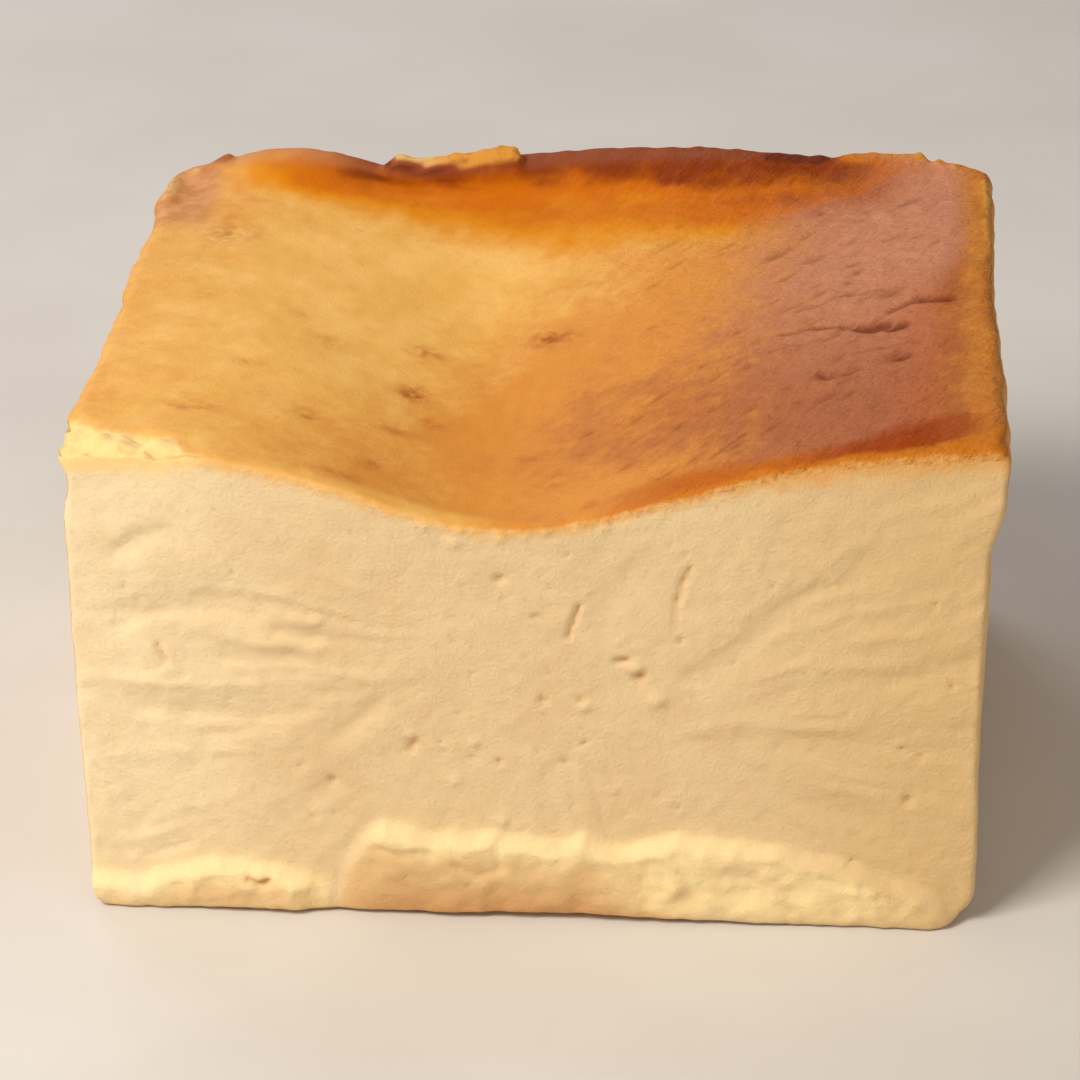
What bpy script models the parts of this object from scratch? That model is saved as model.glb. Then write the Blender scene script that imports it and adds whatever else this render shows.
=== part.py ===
"""A crustless baked cheesecake: the end half of a loaf, as cut.

One solid. Its top is a browned skin that sank in the middle as the loaf cooled. A paper-lined tin shaped
the left, right and back walls, and the front is the cut face. Metres, +Z up, the cut faces -Y.
"""

import math

import bpy
import numpy as np

MM = 0.001

# Driving dimensions
TOP_WIDTH = 113.2 * MM
BASE_WIDTH = 111.2 * MM
LENGTH = 96 * MM
LEFT_RIM_HEIGHT = 62.6 * MM
RIGHT_RIM_HEIGHT = 64.8 * MM

# Edges, as arc radii
CUT_EDGE_RADIUS = 0.9 * MM
TOP_RIM_RADIUS = 2.2 * MM
BACK_LEFT_RADIUS = 4.5 * MM
BACK_RIGHT_RADIUS = 6 * MM
LEFT_BASE_RADIUS = 3 * MM
RIGHT_BASE_RADIUS = 5.5 * MM
BACK_BASE_RADIUS = 5 * MM

# The sunken top: deepest at the cut, and nothing at the back wall
SAG_DEPTH = 10 * MM
SAG_CENTRE = -2.8 * MM
SAG_DRIFT = -7 * MM
SAG_HALF_LEFT = 20 * MM
SAG_HALF_RIGHT = 23.6 * MM
SAG_POWER = 2.2

# Waves of the back rim: place across, height and half width
BACK_RIM_WAVES = (
    (-39.5 * MM, 3.1 * MM, 9 * MM),
    (-23 * MM, -1.2 * MM, 4.5 * MM),
    (10 * MM, 2.8 * MM, 22 * MM),
)
BACK_RIM_REACH = 0.13
# Torn flakes of skin that stand up along the back rim: start, end and height
RIM_FLAKES = (
    (-28 * MM, -7 * MM, 2.8 * MM),
    (24 * MM, 35 * MM, 0.6 * MM),
    (34 * MM, 48 * MM, 1.3 * MM),
    (-52 * MM, -47 * MM, 1.2 * MM),
)
FLAKE_PLACE = 1.6 * MM
FLAKE_HALF_THICKNESS = 0.9 * MM
# The corner at the front left where the skin came off, in front of this line
TORN_EDGE = (
    (-57 * MM, -38 * MM),
    (-51 * MM, -42 * MM),
    (-44 * MM, -44.2 * MM),
    (-39 * MM, -48 * MM),
    (-34 * MM, -56 * MM),
)
TORN_DEPTH = 0.6 * MM

# Walls: an overhang below the rims, and broad waves from the paper
OVERHANG = 1.4 * MM
LEFT_REACH = 0.4 * MM
OVERHANG_START, OVERHANG_FULL = 0.78, 0.88
LEFT_PINCH = 0.8 * MM
# Bulges of the left rim: place from the cut to the back, half width, and height
LEFT_BULGES = ((0.16, 0.11, 1.2 * MM), (0.89, 0.05, 0.4 * MM))
WALL_WAVE = 0.3 * MM
BACK_WALL_CROWN = 1.6 * MM
CUT_TURN = 1.5 * MM

# Folds that the paper pressed into the walls: place across the wall at the base and at the rim
PAPER_FOLDS = ((0.12, 0.22), (0.34, 0.30), (0.55, 0.66), (0.83, 0.78))
FOLD_DEPTH = 0.5 * MM
FOLD_HALF_WIDTH = 2.6 * MM

# The cut face: a fan of soft ridges round one point, grooves, and lips dragged out along the base
FAN_CENTRE = (3.7 * MM, 38.8 * MM)
FAN_HEIGHT = 0.35 * MM
FAN_RIDGES = ((17, 0.4, 0.6), (29, 2.1, 0.4))
FAN_START, FAN_FULL = 8 * MM, 24 * MM
GROOVES = (
    ((-50 * MM, 50.1 * MM), (-46 * MM, 51.3 * MM), (-42.8 * MM, 50.2 * MM)),
    ((-49.4 * MM, 39.7 * MM), (-41 * MM, 42 * MM), (-32.7 * MM, 40.8 * MM)),
    ((40.1 * MM, 49.9 * MM), (19.6 * MM, 34.6 * MM)),
)
GROOVE_DEPTH = 0.6 * MM
GROOVE_HALF_WIDTH = 1.5 * MM
LONG_LIP = (
    (-27 * MM, -3 * MM),
    (-20.7 * MM, 12.2 * MM),
    (-12.8 * MM, 11.2 * MM),
    (5.6 * MM, 11.4 * MM),
    (9.5 * MM, 9.8 * MM),
    (17.7 * MM, 11.6 * MM),
    (33.4 * MM, 9.2 * MM),
    (49 * MM, 4 * MM),
    (56 * MM, -3 * MM),
)
LEFT_LIP = (
    (-66 * MM, -3 * MM),
    (-49.1 * MM, 3.6 * MM),
    (-41.3 * MM, 6.4 * MM),
    (-35.3 * MM, 6.1 * MM),
    (-25.8 * MM, 3.2 * MM),
    (-23 * MM, -3 * MM),
)
LIP_DEPTH = 1.8 * MM
LIP_SHOULDER = 2 * MM
LIP_HEIGHT = 12 * MM
LIP_END = 8 * MM

# The base lifts off the plate a little along the cut: middle, half width and lift
BASE_LIFTS = ((3 * MM, 19 * MM, 0.7 * MM), (-35 * MM, 8 * MM, 0.4 * MM))
BASE_LIFT_DEPTH = 10 * MM

# Lattice of the outside: (length, cells) stretches from left to right, front to back and base to top
ACROSS = ((2 * MM, 2), (108 * MM, 60), (2 * MM, 2))
ALONG = ((1 * MM, 1), (9 * MM, 4), (70 * MM, 20), (11 * MM, 6), (5 * MM, 5))
UPWARD = ((1 * MM, 1), (13 * MM, 8), (42 * MM, 16), (6 * MM, 4), (2 * MM, 3))
RELIEF_FADE = 2.5 * MM

# Sides of the lattice: fixed axis, its end, the two axes that run over the side, and cells joined into one
SIDES = {
    "top": (2, 1, 0, 1, 1),
    "cut": (1, 0, 0, 2, 1),
    "right": (0, 1, 1, 2, 2),
    "left": (0, 0, 2, 1, 2),
    "back": (1, 1, 2, 0, 2),
    "base": (2, 0, 1, 0, 4),
}

# Every edge of the block: axis and end of its two sides, and its radius
EDGES = (
    (0, 0, 1, 0, CUT_EDGE_RADIUS),
    (0, 1, 1, 0, CUT_EDGE_RADIUS),
    (1, 0, 2, 1, CUT_EDGE_RADIUS),
    (1, 0, 2, 0, CUT_EDGE_RADIUS),
    (0, 0, 2, 1, TOP_RIM_RADIUS),
    (0, 1, 2, 1, TOP_RIM_RADIUS),
    (1, 1, 2, 1, TOP_RIM_RADIUS),
    (0, 0, 1, 1, BACK_LEFT_RADIUS),
    (0, 1, 1, 1, BACK_RIGHT_RADIUS),
    (0, 0, 2, 0, LEFT_BASE_RADIUS),
    (0, 1, 2, 0, RIGHT_BASE_RADIUS),
    (1, 1, 2, 0, BACK_BASE_RADIUS),
)

SKIN_COLOUR = (0.72, 0.38, 0.10, 1.0)
CREAM_COLOUR = (0.86, 0.68, 0.42, 1.0)


def clear_scene():
    for thing in list(bpy.data.objects):
        bpy.data.objects.remove(thing, do_unlink=True)


# Shape helpers


def bell(place, centre, half):
    """1 at the centre, a half at a half width from it."""
    return 0.5 ** (((place - centre) / half) ** 2)


def ease(place, low, high):
    """0 up to low, 1 from high on, smooth between."""
    share = np.clip((place - low) / (high - low), 0, 1)
    return share * share * (3 - 2 * share)


def line_distance(a, b, path):
    """Distance from the points (a, b) to a line through the path's points."""
    nearest = np.full(a.shape, np.inf)
    for (a0, b0), (a1, b1) in zip(path, path[1:]):
        run, rise = a1 - a0, b1 - b0
        share = np.clip(((a - a0) * run + (b - b0) * rise) / (run * run + rise * rise), 0, 1)
        nearest = np.minimum(nearest, np.hypot(a - a0 - share * run, b - b0 - share * rise))
    return nearest


# The outside of the block as a lattice


def lattice_lines(stretches):
    """Places of the lattice lines along one axis, from 0 to 1."""
    ends = np.cumsum([0.0] + [length for length, _ in stretches])
    runs = [np.linspace(low, high, cells, endpoint=False)
            for low, high, (_, cells) in zip(ends, ends[1:], stretches)]
    return np.append(np.concatenate(runs), ends[-1]) / ends[-1]


def cell_outline(a0, b0, step, count_a, count_b):
    """Corners of one cell, and the finer points where it meets an edge of the block."""
    a1, b1 = a0 + step, b0 + step
    outline = [(a, b0) for a in range(a0, a1, 1 if b0 == 0 else step)]
    outline += [(a1, b) for b in range(b0, b1, 1 if a1 == count_a else step)]
    outline += [(a, b1) for a in range(a1, a0, -1 if b1 == count_b else -step)]
    outline += [(a0, b) for b in range(b1, b0, -1 if a0 == 0 else -step)]
    return outline


def side_cells(counts, fixed, end, axis_a, axis_b, step):
    """Yields the lattice points of each cell of one side, anticlockwise as seen from outside."""
    for a0 in range(0, counts[axis_a], step):
        for b0 in range(0, counts[axis_b], step):
            cell = []
            for a, b in cell_outline(a0, b0, step, counts[axis_a], counts[axis_b]):
                point = [0, 0, 0]
                point[fixed] = counts[fixed] * end
                point[axis_a], point[axis_b] = a, b
                cell.append(tuple(point))
            yield cell


def lattice_surface():
    """The lattice points as shares from 0 to 1, the faces, and which faces are the top's."""
    lines = [lattice_lines(stretches) for stretches in (ACROSS, ALONG, UPWARD)]
    counts = [len(places) - 1 for places in lines]
    numbers, faces, on_top = {}, [], []
    for name, side in SIDES.items():
        for cell in side_cells(counts, *side):
            faces.append([numbers.setdefault(point, len(numbers)) for point in cell])
            on_top.append(name == "top")
    points = np.array(list(numbers))
    shares = [places[points[:, axis]] for axis, places in enumerate(lines)]
    return shares, faces, on_top


# Form of the block: u runs left to right, v front to back and w base to top, all from 0 to 1


def top_height(u, v):
    """Height of the skin over the base, with the sag and the raised back rim."""
    x = (u - 0.5) * TOP_WIDTH
    centre = SAG_CENTRE + SAG_DRIFT * v
    half = np.where(x < centre, SAG_HALF_LEFT, SAG_HALF_RIGHT)
    sag = SAG_DEPTH * bell(x, centre, half) * (1 - v ** SAG_POWER)
    rim = LEFT_RIM_HEIGHT + (RIGHT_RIM_HEIGHT - LEFT_RIM_HEIGHT) * u
    waves = sum(height * bell(x, place, width) for place, height, width in BACK_RIM_WAVES)
    return rim - sag + waves * ease(v, 1 - BACK_RIM_REACH, 1)


def half_widths(v, w):
    """Distances of the left and the right wall from the middle plane."""
    taper = BASE_WIDTH / 2 + (TOP_WIDTH - BASE_WIDTH) / 2 * w
    wave = WALL_WAVE * np.sin(2.3 * math.pi * v + 4 * w)
    left = taper + LEFT_REACH + wave - LEFT_PINCH * bell(w, 0.93, 0.04)
    bulges = sum(height * bell(v, place, half) for place, half, height in LEFT_BULGES)
    left = left + bulges * ease(w, 0.9, 0.99)
    right = taper - wave - OVERHANG * (1 - ease(w, OVERHANG_START, OVERHANG_FULL))
    return left, right


def block_form(u, v, w):
    """The block with sharp edges."""
    left, right = half_widths(v, w)
    x = -left + (left + right) * u
    front = -LENGTH / 2 + CUT_TURN * ease(u, 0.35, -0.05)
    back = LENGTH / 2 + BACK_WALL_CROWN * (1 - (2 * u - 1) ** 2) * ease(w, 0, 0.6)
    y = front + (back - front) * v
    z = w * top_height(u, v)
    return np.stack((x, y, z), axis=1)


def edge_pull(gap_a, gap_b, radius):
    """How far an edge's arc pulls points in from the edge's two sides: a square corner made round."""
    into_a, into_b = np.clip(radius - gap_a, 0, None), np.clip(radius - gap_b, 0, None)
    diagonal = np.maximum(np.hypot(into_a, into_b), radius * 1e-6)
    excess = 1 - np.maximum(into_a, into_b) / diagonal
    corner = (into_a > 0) & (into_b > 0)
    return np.where(corner, into_a * excess, 0), np.where(corner, into_b * excess, 0)


def round_edges(points, shares):
    """Rounds every edge of the block."""
    sizes = np.ptp(points, axis=0)
    pulls = np.zeros_like(points)
    for axis_a, end_a, axis_b, end_b, radius in EDGES:
        gap_a = np.abs(shares[axis_a] - end_a) * sizes[axis_a]
        gap_b = np.abs(shares[axis_b] - end_b) * sizes[axis_b]
        pull_a, pull_b = edge_pull(gap_a, gap_b, radius)
        pulls[:, axis_a] += pull_a * (1 - 2 * end_a)
        pulls[:, axis_b] += pull_b * (1 - 2 * end_b)
    return points + pulls


# Relief, as heights out of each side


def lip(x, z, crest):
    """A lip of cream under a crest line: a round shoulder that eases back towards the base."""
    across, heights = zip(*crest)
    below = np.interp(x, across, heights) - z
    inside = (below > 0) & (x > across[0]) & (x < across[-1])
    depth = line_distance(x, z, crest) * np.where(inside, 1, -1)
    fall = 1 - 0.75 * np.clip(below / LIP_HEIGHT, 0, 1)
    fall *= ease(x, across[0], across[0] + LIP_END) * ease(x, across[-1], across[-1] - LIP_END)
    return LIP_DEPTH * ease(depth, -LIP_SHOULDER, LIP_SHOULDER) * fall


def cut_relief(x, z):
    """The cut face: fan of ridges, grooves and lips."""
    run, rise = x - FAN_CENTRE[0], z - FAN_CENTRE[1]
    turn, reach = np.arctan2(rise, run), np.hypot(run, rise)
    fan = sum(share * np.sin(count * turn + phase) for count, phase, share in FAN_RIDGES)
    relief = FAN_HEIGHT * fan * ease(reach, FAN_START, FAN_FULL)
    for path in GROOVES:
        relief -= GROOVE_DEPTH * bell(line_distance(x, z, path), 0, GROOVE_HALF_WIDTH)
    return relief + np.maximum(lip(x, z, LONG_LIP), lip(x, z, LEFT_LIP))


def top_relief(x, y):
    """The skin: the torn corner, and flakes that stand up along the back rim."""
    relief = -TORN_DEPTH * ease(np.interp(x, *zip(*TORN_EDGE)) - y, 0, 2 * MM)
    ridge = bell(y, LENGTH / 2 - FLAKE_PLACE, FLAKE_HALF_THICKNESS)
    for start, end, height in RIM_FLAKES:
        relief += height * ridge * ease(x, start, start + 2 * MM) * ease(x, end, end - 3 * MM)
    return relief


def wall_relief(along, w, length):
    """Folds that the paper pressed into a wall."""
    relief = np.zeros_like(along)
    for low, high in PAPER_FOLDS:
        place = (low + (high - low) * w) * length
        relief -= FOLD_DEPTH * bell(along, place, FOLD_HALF_WIDTH)
    return relief


def base_lift(x, y):
    """The lift of the base along the cut."""
    depth = ease(y, BASE_LIFT_DEPTH - LENGTH / 2, -LENGTH / 2)
    return depth * sum(lift * bell(x, middle, half) for middle, half, lift in BASE_LIFTS)


def add_relief(points, shares):
    """Adds each side's relief, which fades out round the edges."""
    u, v, w = shares
    x, y, z = points.T
    width, length, height = np.ptp(points, axis=0)
    shaped = points.copy()
    shaped[:, 2] += top_relief(x, y) * ease((1 - w) * height, RELIEF_FADE, 0)
    shaped[:, 2] += base_lift(x, y) * ease(w * height, RELIEF_FADE, 0)
    shaped[:, 1] -= cut_relief(x, z) * ease(v * length, RELIEF_FADE, 0)
    shaped[:, 1] += wall_relief(u * width, w, width) * ease((1 - v) * length, RELIEF_FADE, 0)
    shaped[:, 0] -= wall_relief(v * length, w, length) * ease(u * width, RELIEF_FADE, 0)
    shaped[:, 0] += wall_relief(v * length, 1 - w, length) * ease((1 - u) * width, RELIEF_FADE, 0)
    return shaped


def stand_on_origin(points):
    """Centres the block over the origin and stands it at height 0."""
    low, high = points.min(axis=0), points.max(axis=0)
    middle = (low + high) / 2
    return points - np.array((middle[0], middle[1], low[2]))


def food_material(name, colour, roughness):
    material = bpy.data.materials.new(name)
    material.use_nodes = True
    shader = material.node_tree.nodes["Principled BSDF"]
    shader.inputs["Base Color"].default_value = colour
    shader.inputs["Roughness"].default_value = roughness
    shader.inputs["Metallic"].default_value = 0.0
    return material


def cheesecake():
    shares, faces, on_top = lattice_surface()
    points = round_edges(block_form(*shares), shares)
    points = stand_on_origin(add_relief(points, shares))
    mesh = bpy.data.meshes.new("cheesecake")
    mesh.from_pydata(points.tolist(), [], faces)
    mesh.materials.append(food_material("cream", CREAM_COLOUR, 0.55))
    mesh.materials.append(food_material("browned_skin", SKIN_COLOUR, 0.4))
    for polygon, is_skin in zip(mesh.polygons, on_top):
        polygon.material_index = int(is_skin)
    mesh.shade_smooth()
    mesh.set_sharp_from_angle(angle=math.radians(50))
    block = bpy.data.objects.new("cheesecake", mesh)
    bpy.context.scene.collection.objects.link(block)
    return block


clear_scene()
cheesecake()
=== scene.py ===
"""Looks of the crustless baked cheesecake: the end half of a loaf with a browned, sunken top.

One fine closed mesh stands for the CAD block. It repeats the block's named sizes, at about half a
millimetre a face, and adds what is finer: wrinkles, cracks and pits of the skin, flakes of the back rim,
folds, streaks, bubbles and slits of the cut face, and lumps of the lips. +Z is up and the cut faces -Y.
Sizes are in millimetres, and Blender gets them in metres.
"""

import functools
import itertools
import math

import bpy
import numpy as np
from mathutils import Matrix, Vector


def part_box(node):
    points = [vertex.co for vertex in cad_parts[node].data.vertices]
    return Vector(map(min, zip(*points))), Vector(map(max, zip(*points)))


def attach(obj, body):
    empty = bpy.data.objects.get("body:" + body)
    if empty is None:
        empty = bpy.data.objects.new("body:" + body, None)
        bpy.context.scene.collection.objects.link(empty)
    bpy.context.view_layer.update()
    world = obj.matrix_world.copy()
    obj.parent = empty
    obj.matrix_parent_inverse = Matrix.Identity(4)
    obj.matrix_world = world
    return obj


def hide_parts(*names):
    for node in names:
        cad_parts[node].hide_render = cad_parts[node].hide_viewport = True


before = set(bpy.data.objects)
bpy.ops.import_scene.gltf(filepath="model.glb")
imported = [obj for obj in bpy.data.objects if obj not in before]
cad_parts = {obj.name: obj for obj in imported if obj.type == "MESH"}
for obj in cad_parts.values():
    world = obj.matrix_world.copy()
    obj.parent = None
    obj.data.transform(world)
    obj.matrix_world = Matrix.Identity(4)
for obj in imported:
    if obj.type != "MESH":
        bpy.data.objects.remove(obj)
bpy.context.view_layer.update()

NODE = "cheesecake"
MM = 0.001

# Driving dimensions, as in the CAD block
TOP_WIDTH = 113.2
BASE_WIDTH = 111.2
LENGTH = 96
LEFT_RIM_HEIGHT = 62.6
RIGHT_RIM_HEIGHT = 64.8

# Edges, as arc radii
CUT_EDGE_RADIUS = 0.9
TOP_RIM_RADIUS = 2.2
BACK_LEFT_RADIUS = 4.5
BACK_RIGHT_RADIUS = 6
LEFT_BASE_RADIUS = 3
RIGHT_BASE_RADIUS = 5.5
BACK_BASE_RADIUS = 5

# The sunken top
SAG_DEPTH = 10
SAG_CENTRE = -2.8
SAG_DRIFT = -7
SAG_HALF_LEFT = 20
SAG_HALF_RIGHT = 23.6
SAG_POWER = 2.2

# Waves of the back rim: place across, height and half width
BACK_RIM_WAVES = ((-39.5, 3.1, 9), (-23, -1.2, 4.5), (10, 2.8, 22))
BACK_RIM_REACH = 0.13
# Flakes that stand up along the rims: start, end, height, and the tones of top and foot, -1 burnt to 1 pale
BACK_FLAKES = (
    (-28, -7, 3.0, 0.8, -0.6), (23.5, 35, 0.5, -1.0, -0.2),
    (34.5, 48, 1.2, 0.35, 0.1), (-52, -47, 1.2, -0.4, -0.3),
)
LEFT_FLAKES = ((32, 43, 0.8, 0.45, -0.1),)
RIGHT_FLAKES = ((14, 28, 0.3, 0.5, 0.1), (27, 42, 0.4, 0.7, 0.1))
FLAKE_PLACE = 1.6
FLAKE_HALF_THICKNESS = 0.9
# Crumbs of the back rim: half width and height as shares of the radius, paleness, and place (x, y) and radius
RIM_CRUMB_WIDTH, RIM_CRUMB_HEIGHT, RIM_CRUMB_TONE = 0.6, 0.7, 0.9
RIM_CRUMBS = ((47.4, 46.9, 1.1), (49.6, 46.4, 0.9), (51.6, 45.3, 0.7), (-52.4, 44.4, 0.9))
# The corner at the front left where the skin came off
TORN_EDGE = ((-57, -38), (-51, -42), (-44, -44.2), (-39, -48), (-34, -56))
TORN_DEPTH = 0.6

# Walls
OVERHANG = 1.4
LEFT_REACH = 0.4
OVERHANG_START, OVERHANG_FULL = 0.78, 0.88
LEFT_PINCH = 0.8
# Bulges of the left rim: place from the cut to the back, half width, and height
LEFT_BULGES = ((0.16, 0.11, 1.2), (0.89, 0.05, 0.4))
WALL_WAVE = 0.3
BACK_WALL_CROWN = 1.6
CUT_TURN = 1.5
# Folds and creases that the paper pressed: places at the base and the top, as shares of a wall's length
PAPER_FOLDS = ((0.12, 0.22), (0.34, 0.30), (0.55, 0.66), (0.83, 0.78))
FOLD_DEPTH = 0.5
FOLD_HALF_WIDTH = 2.6
PAPER_CREASES = ((0.06, 0.10), (0.23, 0.18), (0.43, 0.49), (0.62, 0.57), (0.73, 0.81), (0.94, 0.90))
CREASE_DEPTH = 0.45
CREASE_HALF_WIDTH = 0.8

# The cut face's lips, as crest lines (x, z) that end below the base
LONG_LIP = (
    (-27, -3), (-24, 6), (-21.6, 10.8), (-18.8, 12.6), (-15.9, 11.8), (-12.6, 10.9), (-8.9, 11.1),
    (-5.4, 11.6), (-4.0, 10.8), (-0.8, 10.8), (3.2, 9.9), (5.7, 11.5), (7.8, 10.2), (11.8, 9.8),
    (17.8, 11.8), (22.9, 10.8), (27.8, 10.6), (33, 9.4), (38.9, 8.2), (43.5, 6.0), (49, 4.0), (56, -3),
)
LEFT_LIP = (
    (-66, -3), (-56.5, 4.0), (-49.1, 3.6), (-44.9, 5.5), (-40.1, 6.6), (-35, 6.1), (-29.3, 5.0),
    (-25.8, 3.2), (-23, -3),
)
LIP_DEPTH = 1.8
LIP_SHOULDER = 1.0
LIP_HEIGHT = 12
LIP_END = 8
# Where the base lifts along the cut: place across, half width and lift
BASE_LIFTS = ((3, 19, 0.7), (-35, 8, 0.4))
BASE_LIFT_DEPTH = 10

# Fans of streaks round one point on each half: streaks per radian, length, height, and reach where they begin
LEFT_FAN_CENTRE, RIGHT_FAN_CENTRE = (3.7, 38.8), (13, 28)
FAN_STREAKS = ((9, 30, 0.17, 14), (17, 20, 0.13, 12), (34, 10, 0.10, 10))
# Grain of the cut face: size and height
CUT_GRAINS = ((7, 0.11), (2.6, 0.05), (1.1, 0.07))

# Folds of the cut face: line (x, z), height, and half widths above and below the line
FOLDS = (
    (((-50.2, 49.4), (-48.7, 50.4), (-47.3, 51.1), (-44.9, 51.6)), -0.45, 0.9, 1.5),
    (((-50.2, 38.9), (-47.9, 40.4), (-43.1, 41.6), (-39.8, 41.6), (-34.3, 41.0)), -0.65, 2.4, 0.9),
    (((-37.6, 35.2), (-35.2, 34.8), (-32.2, 34.6), (-28.4, 35.3)), -0.35, 1.3, 0.6),
    (((-30.8, 38.8), (-29.2, 38.1), (-26.7, 37.9)), -0.35, 1.0, 0.5),
    (((-47.5, 27.2), (-41.5, 27.0), (-33.2, 27.1), (-28.2, 27.9)), -0.5, 1.7, 0.6),
    (((-35.6, 32.2), (-33.4, 32.5), (-31.8, 33.2), (-28.7, 33.5)), -0.3, 0.8, 0.5),
    (((-40.6, 24.1), (-31.4, 25.9)), -0.3, 0.9, 0.5),
    (((-48.7, 6.8), (-45.8, 7.8), (-43.2, 8.9)), -0.3, 0.5, 0.5),
    (((-24.5, 24.6), (-18.4, 29.6)), -0.3, 1.2, 0.7),
    (((-42.3, 38.9), (-39.7, 39.2), (-37.2, 38.4), (-32.8, 37.4), (-26.9, 36.5)), 0.35, 0.8, 0.8),
    (((-55.4, 31.9), (-50.7, 31.8), (-44.6, 31.6), (-39.8, 31.4), (-34, 31.7)), 0.3, 0.7, 0.8),
    (((-27.5, 32.3), (-23.0, 33.0), (-18.5, 33.1)), 0.25, 0.7, 0.7),
    (((-32.4, 44.1), (-29.7, 44.4)), 0.25, 0.7, 0.5),
    (((-29.4, 40.6), (-26.0, 40.7)), 0.3, 0.7, 0.5),
    (((-53.1, 21.0), (-43.1, 22.1)), 0.25, 0.8, 0.8),
    (((-39.5, 22.3), (-35.4, 22.7)), 0.2, 0.4, 0.4),
    (((-52.9, 8.8), (-49.0, 9.7), (-44.2, 11.2)), 0.2, 0.5, 0.6),
    (((-43.5, 14.2), (-40.2, 15.0), (-37.2, 16.5)), 0.2, 0.5, 0.6),
    (((19.6, 34.0), (24.8, 38.3), (29.3, 42.6), (33.2, 45.1), (36.5, 46.9), (39.8, 49.3)), -0.7, 1.0, 2.2),
    (((43.0, 33.2), (46.5, 34.7), (51.3, 37.0)), -0.25, 1.1, 0.7),
    (((30.9, 25.6), (37.5, 25.9), (42.6, 25.6)), -0.15, 1.2, 1.0),
    (((13.1, 48.9), (11.0, 46.0), (8.9, 43.9), (8.1, 40.6)), -0.3, 1.8, 1.8),
    (((34.7, 44.7), (37.8, 45.6)), 0.25, 0.5, 0.5),
    (((30.5, 40.7), (35.6, 41.8), (37.8, 43.0)), 0.25, 0.6, 0.6),
    (((39.6, 43.2), (44.6, 44.2), (49.9, 45.3)), 0.25, 0.6, 0.6),
    (((38.8, 39.2), (44.1, 40.3), (46.4, 40.4)), 0.3, 0.7, 0.6),
    (((27.1, 34.0), (31.1, 35.3), (35.7, 36.1), (40.8, 35.8), (46.2, 36.0)), 0.25, 0.6, 0.7),
    (((41.0, 54.5), (45.2, 56.8), (50.2, 57.8)), 0.2, 0.8, 0.6),
    (((19.8, 27.0), (24.9, 27.7), (29.5, 27.5), (35.2, 27.2), (39.4, 27.6)), 0.45, 0.9, 0.9),
    (((27.2, 22.4), (29.5, 21.9), (31.8, 19.7), (33.4, 16.4), (36.5, 13.8), (39.5, 11.2)), 0.3, 2.0, 0.8),
    (((-19.9, 9.6), (-16.5, 9.2), (-13.3, 9.6)), -0.5, 0.6, 0.7),
    (((-9.7, 7.4), (-7.4, 6.2), (-5.0, 7.2)), -0.45, 0.8, 0.5),
)
# Slits of the cut face: line (x, z), depth and half width
SLITS = (
    (((5.6, 43.3), (5.0, 41.8), (4.1, 39.0)), 0.6, 0.26),
    (((18.8, 48.5), (18.0, 46.5), (17.4, 44.3)), 0.4, 0.35),
    (((17.4, 44.3), (17.1, 40.6)), 0.25, 0.35),
    (((10.0, 36.0), (11.4, 36.1)), 0.5, 0.35),
    (((-46.2, 36.5), (-45.8, 35.4), (-45.3, 34.4)), 0.5, 0.35),
    (((-45.0, 32.1), (-43.2, 32.4)), 0.35, 0.35),
    (((-15.4, 23.2), (-14.9, 24.4)), 0.5, 0.4),
    (((-36.0, 4.9), (-34.6, 4.4), (-33.6, 4.8)), 0.8, 0.40),
)
# Depth, height and half width of bubbles and lumps, as shares of their radius
BUBBLE_DEPTH, BUBBLE_WIDTH, LUMP_HEIGHT, LUMP_WIDTH = 0.9, 0.65, 0.5, 0.7
# Bubbles of the cut face: place (x, z) and radius
BUBBLES = (
    (-4.0, 46.7, 0.7), (0.4, 41.8, 0.5), (1.2, 41.4, 0.4), (-9.8, 41.3, 0.4), (1.1, 30.3, 0.7),
    (5.7, 30.5, 0.6), (12.8, 33.8, 0.9), (10.7, 36.0, 0.5), (17.8, 38.9, 0.5), (-1.8, 30.8, 0.4),
    (-4.4, 21.8, 0.6), (-7.7, 22.3, 0.5), (3.7, 21.9, 0.5), (6.1, 24.6, 0.5), (-25.2, 18.7, 0.8),
    (-27.6, 13.6, 0.5), (-45.7, 16.4, 0.4), (45.6, 17.6, 0.8), (47.0, 23.6, 0.5), (44.7, 24.8, 0.4),
    (38.0, 29.5, 0.4), (50.5, 33.3, 0.5), (51.2, 27.3, 0.4), (33.1, 34.7, 0.4), (15.2, 17.6, 0.4),
)
# Seeded small bubbles and crumbs all over the cut face: numbers, and ranges of place and radius
STRAY_BUBBLES, STRAY_CRUMBS = 80, 150
STRAY_ACROSS, STRAY_UP, STRAY_RADII = (-52, 52), (3, 52), (0.25, 0.42)
# Small lumps of the cut face: place (x, z) and radius
LUMPS = (
    (12.5, 35.1, 1.0), (6.1, 29.7, 0.9), (14.9, 30.7, 1.2), (-15.2, 25.5, 0.9), (-9.8, 19.0, 0.9),
    (-7.5, 24.4, 0.7), (9.6, 18.1, 0.7), (44.9, 25.3, 0.6), (-4.3, 13.4, 0.8), (-2.2, 12.9, 0.7),
    (-12.9, 53.6, 0.6), (-8.7, 53.2, 0.7), (-6.4, 53.4, 0.5), (-9.3, 51.4, 0.7), (-3.8, 52.1, 0.8),
    (-0.9, 52.3, 0.6), (1.7, 53.2, 0.6), (2.9, 51.6, 0.5), (8.7, 53.7, 0.6), (11.2, 54.1, 0.5),
)

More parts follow.
